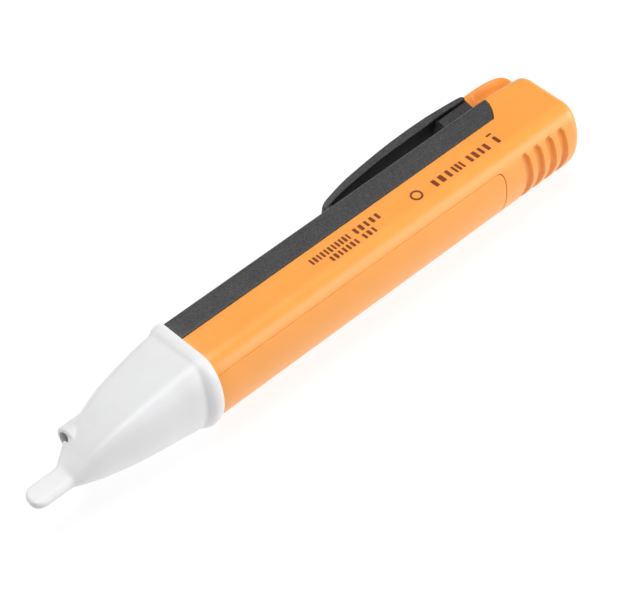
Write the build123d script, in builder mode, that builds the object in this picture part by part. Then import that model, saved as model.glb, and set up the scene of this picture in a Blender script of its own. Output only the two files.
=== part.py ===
"""Non-contact voltage tester: a pen with a probe blade, a pocket clip, a torch and two AAA cells.

The pen lies on its side. +X runs to the tail, +Y to the clip side and +Z to the printed side.
The origin is under the middle of the pen, on the surface it lies on.
Sizes given as x, y, z are pen coordinates: x from the collar's rear face, y and z from the
pen's axis, which is the line where the case is widest.
"""
import os
from math import cos, radians, sin

from build123d import *

# ---- driving dimensions (mm) ----------------------------------------------------------------
NOSE_LENGTH = 46.5          # collar's rear face to the blade's tip
BODY_LENGTH = 109.8         # collar's rear face to the tail's end
CASE_TOP = 13.6             # clip side of the case
CASE_TOP_HALF = 8.1         # half the width of the clip side
CASE_HALF = 10.7            # half the width at the widest line
WIDEST = 0.993              # share of CASE_HALF that the rounded side reaches
CASE_BOTTOM = 6.55          # door side of the case
CROWN = 0.25                # rise of the clip side at its middle
TOP_SHARE = 0.85            # how much of an outward offset the leaning side's top edge takes
WALL = 1.5
FIT_GAP = 0.08              # between pieces that are fixed to each other
SLIDE_GAP = 0.15            # between pieces that move on each other

RIM_GROW = 0.9              # how far the nose's rim stands out of the case
CLIP_TOP = 20.45            # highest line of the pocket clip
SEAM_Y = 7.55               # seam of the grey cover and the orange shell
DOOR_SEAM_Y = -4.0          # seam of the door and the shell
DOOR_END_X = 85.2
COVER_END_X = 93.6          # rear end of the cover at the seam
COVER_LEAN = 3.1            # how much further back it ends at the top

CELL_DIAMETER = 10.5        # AAA
CELL_LENGTH = 44.5
CELL_Y = 0.35
CELL_START_X = 5.6

BOARD_TOP = 7.15
BOARD_THICK = 0.8
BOARD_HALF = 6.9
BOARD_END_X = 58.0
BOARD_NECK_HALF = 4.7
BOARD_NECK_X = -10.0

BARREL_Y = 7.6              # torch barrel's axis
BARREL_RADIUS = 3.6
BARREL_FRONT_X = -31.0
LED_RADIUS = 2.5

BLADE_Y = 1.35
BLADE_HALF = 2.75
BLADE_THICK = 2.2

BUTTON_X = 28.0
BUTTON_LENGTH = 12.0
BUTTON_WIDTH = 7.0
BUTTON_PROUD = 0.7

CLIP_HALF = 4.0
CLIP_PIVOT = (94.9, 18.3)   # heel rib that the clip flexes about
CLIP_RIB_RADIUS = 0.9
CLIP_TIP_X = 49.8
BLOCK_HALF = 3.2
BLOCK_START_X = 86.9
BLOCK_TOP = 18.3

# ---- pen axis in the part's frame -----------------------------------------------------------
AXIS_X = (NOSE_LENGTH - BODY_LENGTH) / 2
AXIS_Y = (CASE_BOTTOM + RIM_GROW - CLIP_TOP) / 2
AXIS_Z = WIDEST * CASE_HALF + RIM_GROW


def pen(x, y=0.0, z=0.0):
    """A point given in pen coordinates."""
    return (AXIS_X + x, AXIS_Y + y, AXIS_Z + z)


def station(x):
    """A plane across the pen: its first coordinate is y, its second z, its normal +X."""
    return Plane(origin=pen(x), x_dir=(0, 1, 0), z_dir=(1, 0, 0))


def side(z=0.0):
    """A plane along the pen, seen from the printed side: coordinates x and y, normal +Z."""
    return Plane(origin=pen(0, 0, z), x_dir=(1, 0, 0), z_dir=(0, 0, 1))


def deck(y):
    """A plane along the pen, seen from below: coordinates x and z, normal -Y."""
    return Plane(origin=pen(0, y), x_dir=(1, 0, 0), z_dir=(0, -1, 0))


def finish(piece, name):
    """Label a finished piece and write its STEP file."""
    piece.part.label = name
    export_step(piece.part, f"parts/{name}.step")


def section(top, top_half, half, bottom, corner, crown=CROWN):
    """The pen's cross-section: flat clip side, leaning sides and a rounded door side."""
    lean = (half - top_half) / top
    start = 0.2 * top
    belly = [(0.364, 0.920), (0.694, 0.694), (0.920, 0.364)]      # superellipse of exponent 1.9
    with BuildSketch() as outline:
        with BuildLine():
            Spline(
                (start, half - lean * start),
                (0, WIDEST * half),
                *[(-bottom * down, half * out) for down, out in belly],
                (-bottom, 0),
                tangents=[(-1, lean), (0, -1)],
            )
            Line((start, half - lean * start), (top, top_half))
            mirror(about=Plane.XZ)
            ThreePointArc((top, -top_half), (top + crown, 0), (top, top_half))
        make_face()
        fillet(vertices().group_by(Axis.X)[-1], corner)
    return outline.sketch


def case_section(grow=0.0):
    """The case's outline, or one parallel to it."""
    corner = 1.0 + max(grow, -0.4)
    return section(
        CASE_TOP + grow,
        CASE_TOP_HALF + TOP_SHARE * grow,
        CASE_HALF + grow,
        CASE_BOTTOM + grow,
        corner,
    )


def block(x0, x1, y0, y1, z0, z1, mode=Mode.ADD):
    """A block between two pen corners, joined to the part being built."""
    with Locations(pen((x0 + x1) / 2, (y0 + y1) / 2, (z0 + z1) / 2)):
        Box(x1 - x0, y1 - y0, z1 - z0, mode=mode)


def post(x, z, y0, y1, radius, mode=Mode.ADD):
    """An upright cylinder, its axis along Y."""
    with BuildSketch(deck(y1)) as ring:
        with Locations((x, z)):
            Circle(radius)
    extrude(ring.sketch, amount=y1 - y0, mode=mode)


def rod(y, z, x0, x1, radius, mode=Mode.ADD):
    """A cylinder along the pen."""
    with BuildSketch(station(x0)) as ring:
        with Locations((y, z)):
            Circle(radius)
    extrude(ring.sketch, amount=x1 - x0, mode=mode)


def cover_outline(gap):
    """The grey cover seen from the side, smaller by the gap at its seam and its rear end."""
    with BuildSketch() as outline:
        with BuildLine():
            Polyline(
                (-1, SEAM_Y + gap),
                (COVER_END_X - gap, SEAM_Y + gap),
                (COVER_END_X + 0.75 * COVER_LEAN - gap, SEAM_Y + 3.0),
                (COVER_END_X + COVER_LEAN - gap, CASE_TOP - 1.0),
                (COVER_END_X + COVER_LEAN - gap, CLIP_TOP + 2),
                (-1, CLIP_TOP + 2),
                close=True,
            )
        make_face()
    return outline.sketch


def door_outline(gap):
    """The battery door seen from the side, smaller by the gap at its seams."""
    with BuildSketch() as outline:
        with BuildLine():
            Polyline(
                (gap * 1.5, DOOR_SEAM_Y - gap),
                (DOOR_END_X - gap, DOOR_SEAM_Y - gap),
                (DOOR_END_X - gap, -CASE_BOTTOM - 3),
                (gap * 1.5, -CASE_BOTTOM - 3),
                close=True,
            )
        make_face()
        fillet(vertices().sort_by(Axis.Y)[-2:].sort_by(Axis.X)[-1], 1.6)
    return outline.sketch


os.makedirs("parts", exist_ok=True)

# ---- nose: rim, tapering cone, probe blade and torch barrel ---------------------------------
# each row: x, top, half the flat top, half the width, bottom, corner radius
NOSE_STATIONS = [
    (-2.6, 13.55, 7.9, 10.60, 6.15, 1.4),
    (-5.0, 13.50, 7.75, 10.50, 6.00, 1.6),
    (-10.0, 13.20, 6.9, 9.90, 5.50, 2.0),
    (-15.0, 12.65, 6.1, 9.20, 5.10, 2.4),
    (-20.0, 11.80, 5.2, 8.30, 4.50, 2.6),
    (-25.0, 10.30, 4.2, 7.00, 3.70, 2.6),
    (-30.0, 8.60, 2.9, 5.00, 2.80, 2.2),
    (-33.0, 6.85, 1.9, 3.30, 2.30, 1.5),
    (-35.0, 5.45, 1.3, 2.10, 1.75, 1.0),
    (-36.4, 4.45, 1.0, 1.35, 1.45, 0.7),
]
NOSE_WALL = 1.3
# each row: x, how far the rim stands out of the case's outline
RIM_STATIONS = [(-4.2, -0.35), (-3.5, 0.3), (-2.8, 0.74), (-1.9, RIM_GROW), (-0.9, 0.74), (0.0, 0.3)]
RIM_LENGTH = 4.2
SPIGOT_LENGTH = 2.4
SPIGOT_WALL = 1.2
BLADE_ROOT_X = -33.0
ANTENNA_LOW, ANTENNA_HIGH = 0.4, 2.9
ANTENNA_TIP_X = -45.0
LED_BACK_X = -22.2

with BuildPart() as nose_cone:
    for x, top, top_half, half, bottom, corner in NOSE_STATIONS:
        with BuildSketch(station(x)):
            add(section(top, top_half, half, bottom, corner, crown=0.4))
    loft()
    for x, grow in RIM_STATIONS:
        with BuildSketch(station(x)):
            add(case_section(grow))
    loft()
    for x, top, top_half, half, bottom, corner in NOSE_STATIONS[:-2]:
        with BuildSketch(station(x)):
            add(section(top - NOSE_WALL, top_half - 0.9, half - NOSE_WALL, bottom - NOSE_WALL,
                        corner - 0.5, crown=0.3))
    loft(mode=Mode.SUBTRACT)
    with BuildSketch(station(-RIM_LENGTH)):
        add(case_section(-WALL - 0.2 - SPIGOT_WALL))
    extrude(amount=RIM_LENGTH + 1, mode=Mode.SUBTRACT)
    with BuildSketch(station(-0.5)):
        add(case_section(-WALL - 0.2))
        add(case_section(-WALL - 0.2 - SPIGOT_WALL), mode=Mode.SUBTRACT)
    extrude(amount=SPIGOT_LENGTH + 0.5)
    rod(BARREL_Y, 0, BARREL_FRONT_X, LED_BACK_X - 1.1, BARREL_RADIUS)
    with BuildPart(mode=Mode.PRIVATE) as blade:
        with BuildSketch(side(-BLADE_THICK / 2)):
            with Locations(((BLADE_ROOT_X - NOSE_LENGTH) / 2, BLADE_Y)):
                SlotOverall(NOSE_LENGTH + BLADE_ROOT_X, 2 * BLADE_HALF)
        extrude(amount=BLADE_THICK)
        fillet(edges().group_by(Axis.Z)[0] + edges().group_by(Axis.Z)[-1], 0.7)
    add(blade.part)
    rod(BARREL_Y, 0, BARREL_FRONT_X - 1, LED_BACK_X, LED_RADIUS + 0.1, mode=Mode.SUBTRACT)
    rod(BARREL_Y, 0, LED_BACK_X - 1.2, LED_BACK_X + 0.5, LED_RADIUS + 0.55, mode=Mode.SUBTRACT)
    block(ANTENNA_TIP_X - 0.4, BLADE_ROOT_X + 3, ANTENNA_LOW - 0.2, ANTENNA_HIGH + 0.2, -0.35, 0.35,
          mode=Mode.SUBTRACT)
finish(nose_cone, "nose_cone")

# ---- orange shell: side walls, closed tail with a spine and grip grooves ---------------------
TAIL_START_X = 98.0
TAIL_CORNER = 3.0           # the clip side's corners at the tail's end
TAIL_ROUND = 2.6            # rounding of the tail's end
TAIL_TURN = 77              # degrees that the rounding turns through
CAVITY_END_X = 105.0
BULKHEAD = 1.5
FRONT_BULKHEAD_X = 3.0
REAR_BULKHEAD_X = 100.9
SPINE_HALF = 3.0
GROOVE_X = [92.0, 95.8, 99.6, 103.4]
GROOVE_WIDTH = 2.2
GROOVE_Y = -4.1             # where the grooves begin
GROOVE_DEPTH = 0.9
RAIL_TOP = BOARD_TOP - BOARD_THICK - 0.05
SHELF_X = 66.0
SCREW_Z = 5.9
SCREW_HOLE = 0.95
SPINE_START_X = COVER_END_X + COVER_LEAN
SPINE_LOW, SPINE_HIGH = 11.0, 19.4
SPINE_END = (108.9, 14.2)
CELL_RIBS_X = [16, 38, 60, 88]
RAIL_HALF = 8.4


def tail_section(inset, corner):
    """The case's outline drawn in all round, with rounder corners."""
    return section(
        CASE_TOP - inset,
        CASE_TOP_HALF - TOP_SHARE * inset,
        CASE_HALF - inset,
        CASE_BOTTOM - inset,
        corner,
    )


with BuildPart() as body_shell:
    with BuildSketch(station(0)):
        add(case_section())
    extrude(amount=TAIL_START_X)
    for x, corner in ((TAIL_START_X, 1.0), (BODY_LENGTH - TAIL_ROUND, TAIL_CORNER)):
        with BuildSketch(station(x)):
            add(tail_section(0, corner))
    loft()
    for turn in (0, 25, 45, 62, TAIL_TURN):
        along = TAIL_ROUND * sin(radians(turn)) / sin(radians(TAIL_TURN))
        with BuildSketch(station(BODY_LENGTH - TAIL_ROUND + along)):
            add(tail_section(TAIL_ROUND * (1 - cos(radians(turn))), TAIL_CORNER))
    loft()
    with BuildSketch(side(-SPINE_HALF)):
        with BuildLine():
            Spline((SPINE_START_X, SPINE_HIGH), (103.2, 18.9), (106.9, 18.0), (108.4, 16.6), SPINE_END)
            Polyline(SPINE_END, (107.0, SPINE_LOW), (SPINE_START_X, SPINE_LOW), (SPINE_START_X, SPINE_HIGH))
        make_face()
    extrude(amount=2 * SPINE_HALF)
    with BuildSketch(station(-1)):
        add(case_section(-WALL))
    extrude(amount=CAVITY_END_X + 1, mode=Mode.SUBTRACT)
    with BuildSketch(side(-CASE_HALF - 1)):
        add(cover_outline(0))
    extrude(amount=2 * CASE_HALF + 2, mode=Mode.SUBTRACT)
    with BuildSketch(station(FRONT_BULKHEAD_X)):
        add(case_section(-WALL + 0.3))
        with Locations((0, 0)):
            Rectangle(2 * RAIL_TOP, 30, mode=Mode.INTERSECT)
    extrude(amount=BULKHEAD)
    with BuildSketch(station(REAR_BULKHEAD_X)):
        add(case_section(-WALL + 0.3))
    extrude(amount=BULKHEAD)
    for hand in (-1, 1):
        wall = hand * (CASE_HALF - WALL / 2)
        for x in CELL_RIBS_X:
            near, far = sorted((hand * (CELL_DIAMETER / 2 + 0.25), wall))
            block(x, x + 1.4, -2.6, 3.0, near, far)
        near, far = sorted((hand * (RAIL_HALF - 2.1), hand * RAIL_HALF))
        block(12, 50, 4.6, RAIL_TOP, near, far)
        near, far = sorted((hand * 4.3, hand * 8.2))
        block(SHELF_X - 3, SHELF_X + 3, 6.2, SEAM_Y - FIT_GAP, near, far)
        post(SHELF_X, hand * SCREW_Z, 5, 9, SCREW_HOLE, mode=Mode.SUBTRACT)
    with BuildSketch(side(-CASE_HALF - 1)):
        add(door_outline(0))
    extrude(amount=2 * CASE_HALF + 2, mode=Mode.SUBTRACT)
    for x in GROOVE_X:
        with BuildSketch(station(x - GROOVE_WIDTH / 2)):
            add(case_section(1))
            add(case_section(-GROOVE_DEPTH), mode=Mode.SUBTRACT)
            with Locations((GROOVE_Y - 10, 0)):
                Rectangle(20, 40, mode=Mode.INTERSECT)
        extrude(amount=GROOVE_WIDTH, mode=Mode.SUBTRACT)
finish(body_shell, "body_shell")

# ---- grey cover: clip-side strip with the clip's root block ----------------------------------
BOARD_SCREWS = [(8.0, 5.2), (54.0, -5.2)]
BOSS_RADIUS = 1.6
PILOT_RADIUS = 0.85
ROOF = CASE_TOP - WALL + 0.3
RIB_SEAT_GAP = 0.05
COVER_BLANK = 103.0

with BuildPart() as top_cover:
    with BuildSketch(station(FIT_GAP)):
        add(case_section())
    extrude(amount=COVER_BLANK)
    with BuildSketch(station(FIT_GAP - 1)):
        add(case_section(-WALL))
    extrude(amount=COVER_BLANK - 2, mode=Mode.SUBTRACT)
    with BuildSketch(side(-CASE_HALF - 1)):
        add(cover_outline(FIT_GAP))
    extrude(amount=2 * CASE_HALF + 2, mode=Mode.INTERSECT)
    block(BLOCK_START_X, COVER_END_X + COVER_LEAN - FIT_GAP, ROOF, BLOCK_TOP, -BLOCK_HALF, BLOCK_HALF)
    with BuildSketch(side(-CLIP_HALF)):
        with Locations(CLIP_PIVOT):
            Circle(CLIP_RIB_RADIUS + RIB_SEAT_GAP)
    extrude(amount=2 * CLIP_HALF, mode=Mode.SUBTRACT)
    for x, z in BOARD_SCREWS:
        post(x, z, BOARD_TOP + 0.05, ROOF, BOSS_RADIUS)
        post(x, z, BOARD_TOP - 1, ROOF - 1, PILOT_RADIUS, mode=Mode.SUBTRACT)
    for z in (-SCREW_Z, SCREW_Z):
        post(SHELF_X, z, SEAM_Y + FIT_GAP, ROOF, BOSS_RADIUS)
        post(SHELF_X, z, SEAM_Y - 1, ROOF - 0.8, PILOT_RADIUS, mode=Mode.SUBTRACT)
    with BuildSketch(deck(CASE_TOP + 2)):
        with Locations((BUTTON_X, 0)):
            SlotOverall(BUTTON_LENGTH + 2 * SLIDE_GAP, BUTTON_WIDTH + 2 * SLIDE_GAP)
    extrude(amount=WALL + 2.5, mode=Mode.SUBTRACT)
finish(top_cover, "top_cover")

# ---- pocket clip: bowed arm with a bead at its tip and a heel rib in the cover's block --------
CLIP_SEAT = BLOCK_TOP + FIT_GAP
CLIP_END_X = 96.4

with BuildPart() as pocket_clip:
    with BuildSketch(side(-CLIP_HALF)):
        with BuildLine():
            Spline(
                (CLIP_TIP_X, 16.2), (50.6, 17.1), (53.0, 18.0), (61.0, 19.25), (70.0, 20.0),
                (80.0, CLIP_TOP), (88.0, 20.2), (CLIP_END_X - 0.9, 19.5),
            )
            Polyline(
                (CLIP_END_X - 0.9, 19.5), (CLIP_END_X, 18.9), (CLIP_END_X - 0.4, CLIP_SEAT + 0.15),
                (CLIP_PIVOT[0] + CLIP_RIB_RADIUS, CLIP_SEAT), (BLOCK_START_X, CLIP_SEAT),
            )
            Spline(
                (BLOCK_START_X, CLIP_SEAT), (80.0, 18.65), (72.0, 18.5), (64.0, 17.9), (57.0, 17.1),
                (52.9, 16.2),
            )
            Line((52.9, 16.2), (52.2, 14.9))
            RadiusArc((52.2, 14.9), (CLIP_TIP_X + 0.2, 14.9), 1.15, short_sagitta=True)
            Line((CLIP_TIP_X + 0.2, 14.9), (CLIP_TIP_X, 16.2))
        make_face()
        with Locations(CLIP_PIVOT):
            Circle(CLIP_RIB_RADIUS)
    extrude(amount=2 * CLIP_HALF)
    with BuildSketch(deck(CLIP_TOP + 1)):
        with BuildLine():
            Line((CLIP_END_X + 1, CLIP_HALF), (62, CLIP_HALF))
            ThreePointArc((62, CLIP_HALF), (55, CLIP_HALF - 0.15), (51, CLIP_HALF - 0.7))
            RadiusArc((51, CLIP_HALF - 0.7), (51, 0.7 - CLIP_HALF), -5.5, short_sagitta=True)
            ThreePointArc((51, 0.7 - CLIP_HALF), (55, 0.15 - CLIP_HALF), (62, -CLIP_HALF))
            Polyline((62, -CLIP_HALF), (CLIP_END_X + 1, -CLIP_HALF), (CLIP_END_X + 1, CLIP_HALF))
        make_face()
    extrude(amount=8, mode=Mode.INTERSECT)
    with BuildSketch(side(BLOCK_HALF - 0.1)):
        with Locations((CLIP_PIVOT[0], CLIP_PIVOT[1] - 0.5)):
            Rectangle(2 * CLIP_RIB_RADIUS + 0.4, 1.0 + 2 * FIT_GAP)
    extrude(amount=3, mode=Mode.SUBTRACT)
    with BuildSketch(side(-BLOCK_HALF + 0.1)):
        with Locations((CLIP_PIVOT[0], CLIP_PIVOT[1] - 0.5)):
            Rectangle(2 * CLIP_RIB_RADIUS + 0.4, 1.0 + 2 * FIT_GAP)
    extrude(amount=-3, mode=Mode.SUBTRACT)
finish(pocket_clip, "pocket_clip")

# ---- battery door ----------------------------------------------------------------------------
DOOR_RIB_Z = 4.8
DOOR_RIBS_X = [(12, 42), (50, 80)]

with BuildPart() as battery_door:
    with BuildSketch(station(0)):
        add(case_section())
        add(case_section(-WALL), mode=Mode.SUBTRACT)
    extrude(amount=DOOR_END_X)
    with BuildSketch(side(-CASE_HALF - 1)):
        add(door_outline(SLIDE_GAP))
    extrude(amount=2 * CASE_HALF + 2, mode=Mode.INTERSECT)
    for z in (-DOOR_RIB_Z, DOOR_RIB_Z):
        for start, end in DOOR_RIBS_X:
            block(start, end, -5.2, -3.1, z - 0.3, z + 0.3)
finish(battery_door, "battery_door")

# ---- torch button and its switch -------------------------------------------------------------
FLANGE_LOW, FLANGE_HIGH = 11.0, 11.9
SWITCH_TOP = 9.2
PLUNGER_RADIUS = 1.0

with BuildPart() as torch_button:
    with BuildSketch(deck(CASE_TOP + CROWN + BUTTON_PROUD)):
        with Locations((BUTTON_X, 0)):
            SlotOverall(BUTTON_LENGTH, BUTTON_WIDTH)
    extrude(amount=CASE_TOP + CROWN + BUTTON_PROUD - FLANGE_LOW)
    fillet(edges().group_by(Axis.Y)[-1], 0.5)
    with BuildSketch(deck(FLANGE_HIGH)):
        with Locations((BUTTON_X, 0)):
            SlotOverall(BUTTON_LENGTH + 1.6, BUTTON_WIDTH + 1.6)
    extrude(amount=FLANGE_HIGH - FLANGE_LOW)
    post(BUTTON_X, 0, FLANGE_LOW - 0.4, FLANGE_LOW, 1.5)
finish(torch_button, "torch_button")

with BuildPart() as switch_body:
    block(BUTTON_X - 2.3, BUTTON_X + 2.3, BOARD_TOP, SWITCH_TOP, -2.3, 2.3)
    post(BUTTON_X, 0, SWITCH_TOP - 1.0, SWITCH_TOP + 1, PLUNGER_RADIUS + 0.05, mode=Mode.SUBTRACT)
finish(switch_body, "switch_body")

with BuildPart() as switch_plunger:
    post(BUTTON_X, 0, SWITCH_TOP - 0.3, FLANGE_LOW - 0.4, PLUNGER_RADIUS)
finish(switch_plunger, "switch_plunger")

# ---- lamps -----------------------------------------------------------------------------------
def lamp(y, z, back, radius, flange, length, name):
    """A round LED with a domed front, its axis along the pen."""
    with BuildPart() as led:
        rod(y, z, back - length + radius, back, radius)
        with Locations(pen(back - length + radius, y, z)):
            Sphere(radius)
        rod(y, z, back - 1.0, back, flange)
    finish(led, name)


def lead_pair(y, z, spread, radius, x0, x1, name):
    """The two straight legs of a lamp."""
    with BuildPart() as legs:
        rod(y, z - spread, x0, x1, radius)
        rod(y, z + spread, x0, x1, radius)
    finish(legs, name)


LAMP_Y, LAMP_Z, LAMP_BACK_X = 6.1, 3.4, -12.4
lamp(BARREL_Y, 0, LED_BACK_X, LED_RADIUS, LED_RADIUS + 0.4, 8.3, "torch_led")
lead_pair(BOARD_TOP + 0.25, 0, 1.27, 0.25, LED_BACK_X, -8.5, "torch_led_legs")
lamp(LAMP_Y, LAMP_Z, LAMP_BACK_X, 1.5, 1.7, 5.0, "alarm_led")
lead_pair(BOARD_TOP - BOARD_THICK - 0.2, LAMP_Z, 0.63, 0.2, LAMP_BACK_X, -8.5, "alarm_led_legs")

# ---- sensing plate in the blade --------------------------------------------------------------
with BuildPart() as sensor_plate:
    with BuildSketch(side(-0.2)):
        with BuildLine():
            Polyline(
                (-9.2, BOARD_TOP - BOARD_THICK), (-6.2, BOARD_TOP - BOARD_THICK), (-6.2, ANTENNA_LOW),
                (ANTENNA_TIP_X, ANTENNA_LOW), (ANTENNA_TIP_X, ANTENNA_HIGH), (-9.2, ANTENNA_HIGH),
                close=True,
            )
        make_face()
    extrude(amount=0.4)
finish(sensor_plate, "sensor_plate")

# ---- circuit board and what is soldered to it ------------------------------------------------
with BuildPart() as circuit_board:
    with BuildSketch(deck(BOARD_TOP)):
        with BuildLine():
            Polyline(
                (BOARD_NECK_X, -BOARD_NECK_HALF), (3.5, -BOARD_NECK_HALF), (3.5, -BOARD_HALF),
                (BOARD_END_X, -BOARD_HALF), (BOARD_END_X, BOARD_HALF), (3.5, BOARD_HALF),
                (3.5, BOARD_NECK_HALF), (BOARD_NECK_X, BOARD_NECK_HALF), close=True,
            )
        make_face()
        with Locations(*BOARD_SCREWS):
            Circle(0.95, mode=Mode.SUBTRACT)
    extrude(amount=BOARD_THICK)
finish(circuit_board, "circuit_board")

CHIP_X, CHIP_LENGTH, CHIP_HALF = 15.0, 4.9, 1.95
with BuildPart() as detector_chip:
    block(CHIP_X - CHIP_LENGTH / 2, CHIP_X + CHIP_LENGTH / 2, BOARD_TOP + 0.15, BOARD_TOP + 1.6,
          -CHIP_HALF, CHIP_HALF)
    for leg in range(4):
        leg_x = CHIP_X + (leg - 1.5) * 1.27
        block(leg_x - 0.2, leg_x + 0.2, BOARD_TOP, BOARD_TOP + 0.2, -3.0, 3.0)
finish(detector_chip, "detector_chip")


def chip_row(places, length, height, width, name):
    """Small surface-mount pieces of one kind, standing on the board."""
    with BuildPart() as row:
        for x, z in places:
            block(x - length / 2, x + length / 2, BOARD_TOP, BOARD_TOP + height,
                  z - width / 2, z + width / 2)
    finish(row, name)


chip_row([(9.5, -4.5), (12.0, -4.9), (15.0, -4.9), (19.5, 4.6), (22.0, 5.0), (34.0, -5.2), (36.5, 5.2)],
         1.6, 0.55, 0.8, "chip_resistors")
chip_row([(3.0, -2.2), (5.6, 0.8), (19.5, -4.8), (33.0, 4.4)], 2.0, 0.9, 1.25, "chip_capacitors")
chip_row([(-3.0, 0.0), (21.0, 0.4), (33.5, 0.0)], 2.9, 1.1, 1.5, "transistors")

with BuildPart() as reservoir_capacitor:
    post(51.5, 3.0, BOARD_TOP, BOARD_TOP + 4.6, 2.0)
    fillet(edges().group_by(Axis.Y)[-1], 0.3)
finish(reservoir_capacitor, "reservoir_capacitor")

with BuildPart() as buzzer:
    post(42.5, 0, BOARD_TOP, BOARD_TOP + 3.9, 4.4)
    post(42.5, 0, BOARD_TOP + 3.0, BOARD_TOP + 5, 0.9, mode=Mode.SUBTRACT)
    fillet(edges().group_by(Axis.Y)[-1].sort_by(SortBy.RADIUS)[-1], 0.4)
finish(buzzer, "buzzer")

# ---- cells and their contacts ----------------------------------------------------------------
NUB_LENGTH = 1.2
REAR_CELL_X = CELL_START_X + CELL_LENGTH + 0.1


def cell(start, name):
    """An AAA cell with its positive nub towards the nose."""
    with BuildPart() as can:
        rod(CELL_Y, 0, start + NUB_LENGTH, start + CELL_LENGTH, CELL_DIAMETER / 2)
        fillet(edges().filter_by(GeomType.CIRCLE), 0.5)
        rod(CELL_Y, 0, start, start + NUB_LENGTH, 1.9)
    finish(can, name)


cell(CELL_START_X, "front_cell")
cell(REAR_CELL_X, "rear_cell")

CONTACT_HALF = 3.5
CONTACT_SHEET = 0.4
with BuildPart() as positive_contact:
    block(4.7, 4.7 + CONTACT_SHEET, -3.0, BOARD_TOP - BOARD_THICK, -CONTACT_HALF, CONTACT_HALF)
    rod(CELL_Y, 0, 4.7 + CONTACT_SHEET, CELL_START_X, 1.4)
finish(positive_contact, "positive_contact")

REAR_PLATE_X = REAR_BULKHEAD_X - CONTACT_SHEET
STRIP_LOW, STRIP_HIGH = 5.85, 6.15
STRIP_START_X = 53.0
with BuildPart() as negative_contact:
    block(REAR_PLATE_X, REAR_BULKHEAD_X, -3.5, STRIP_HIGH, -CONTACT_HALF, CONTACT_HALF)
    block(STRIP_START_X, REAR_BULKHEAD_X, STRIP_LOW, STRIP_HIGH, -1.5, 1.5)
    block(STRIP_START_X, STRIP_START_X + 2.5, STRIP_LOW, BOARD_TOP - BOARD_THICK, -1.5, 1.5)
finish(negative_contact, "negative_contact")

SPRING_WIRE = 0.3
SPRING_START_X = REAR_CELL_X + CELL_LENGTH + SPRING_WIRE + 0.02
SPRING_LENGTH = REAR_PLATE_X - SPRING_WIRE - 0.02 - SPRING_START_X
with BuildPart() as contact_spring:
    with BuildLine() as coil:
        Helix(SPRING_LENGTH / 4, SPRING_LENGTH, 2.6, center=pen(SPRING_START_X, CELL_Y, 0),
              direction=(1, 0, 0))
    with BuildSketch(Plane(origin=coil.line @ 0, z_dir=coil.line % 0)):
        Circle(SPRING_WIRE)
    sweep(is_frenet=True)
finish(contact_spring, "contact_spring")

# ---- screws ----------------------------------------------------------------------------------
with BuildPart() as board_screws:
    for x, z in BOARD_SCREWS:
        post(x, z, BOARD_TOP - BOARD_THICK - 0.85, BOARD_TOP - BOARD_THICK, 1.5)
        post(x, z, BOARD_TOP - BOARD_THICK, ROOF - 1.3, 0.8)
finish(board_screws, "board_screws")

with BuildPart() as cover_screws:
    for z in (-SCREW_Z, SCREW_Z):
        post(SHELF_X, z, 5.3, 6.2, 1.5)
        post(SHELF_X, z, 6.2, ROOF - 1.1, 0.8)
finish(cover_screws, "cover_screws")
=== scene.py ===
"""Looks for the non-contact voltage tester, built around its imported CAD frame.

Pieces are made in millimetres in the pen's own coordinates, the same as in the CAD: x from the
collar's rear face towards the tail, y to the clip side and z to the printed side, both from the
line where the case is widest. `place` brings each piece into the shared frame, in metres.
"""
from math import cos, pi, radians, sin, sqrt, tan

import bmesh
import bpy
from mathutils import Matrix, Vector


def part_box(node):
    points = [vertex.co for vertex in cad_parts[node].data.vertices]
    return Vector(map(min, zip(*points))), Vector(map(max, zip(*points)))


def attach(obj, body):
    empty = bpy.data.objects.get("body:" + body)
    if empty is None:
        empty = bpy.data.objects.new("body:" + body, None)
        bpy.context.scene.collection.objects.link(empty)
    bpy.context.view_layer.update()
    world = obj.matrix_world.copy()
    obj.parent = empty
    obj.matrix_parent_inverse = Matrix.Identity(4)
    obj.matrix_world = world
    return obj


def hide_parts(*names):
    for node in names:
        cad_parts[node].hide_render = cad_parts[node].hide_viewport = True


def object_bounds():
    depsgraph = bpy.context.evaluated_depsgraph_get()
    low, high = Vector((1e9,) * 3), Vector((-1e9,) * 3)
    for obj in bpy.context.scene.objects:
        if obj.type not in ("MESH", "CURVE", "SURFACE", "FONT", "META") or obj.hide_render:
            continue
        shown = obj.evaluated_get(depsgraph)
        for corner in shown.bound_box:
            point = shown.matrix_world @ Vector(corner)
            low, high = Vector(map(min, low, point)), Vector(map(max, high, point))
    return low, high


MM = 0.001
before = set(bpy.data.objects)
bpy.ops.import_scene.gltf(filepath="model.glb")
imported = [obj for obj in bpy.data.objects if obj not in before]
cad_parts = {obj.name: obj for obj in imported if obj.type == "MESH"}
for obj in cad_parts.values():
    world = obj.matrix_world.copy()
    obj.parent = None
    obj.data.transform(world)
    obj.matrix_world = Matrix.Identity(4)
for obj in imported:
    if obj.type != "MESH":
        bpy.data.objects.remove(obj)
cad_low, cad_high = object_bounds()

# ---- the case's dimensions (mm), as in the CAD ----------------------------------------------
NOSE_LENGTH, BODY_LENGTH = 46.5, 109.8
CASE_TOP, CASE_TOP_HALF, CASE_HALF, CASE_BOTTOM = 13.6, 8.1, 10.7, 6.55
WIDEST = 0.993              # share of CASE_HALF that the rounded side reaches
TOP_SHARE = 0.85            # how much of an outward offset the leaning side's top edge takes
CASE_CORNER = 1.0
CORNER_LOSS = 0.4           # the most that an inward offset takes from the corner's radius
CROWN = 0.25
WALL = 1.5
SEAM_Y = 7.55
DOOR_SEAM_Y = -4.0
DOOR_END_X = 85.2
DOOR_CORNER = 1.6
COVER_END_X = 93.6
COVER_LEAN = 3.1
TAIL_START_X = 98.0
TAIL_ROUND = 2.6
TAIL_CORNER = 3.1
CELL_RADIUS, CELL_LENGTH, CELL_Y = 5.25, 44.5, 0.35

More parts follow.
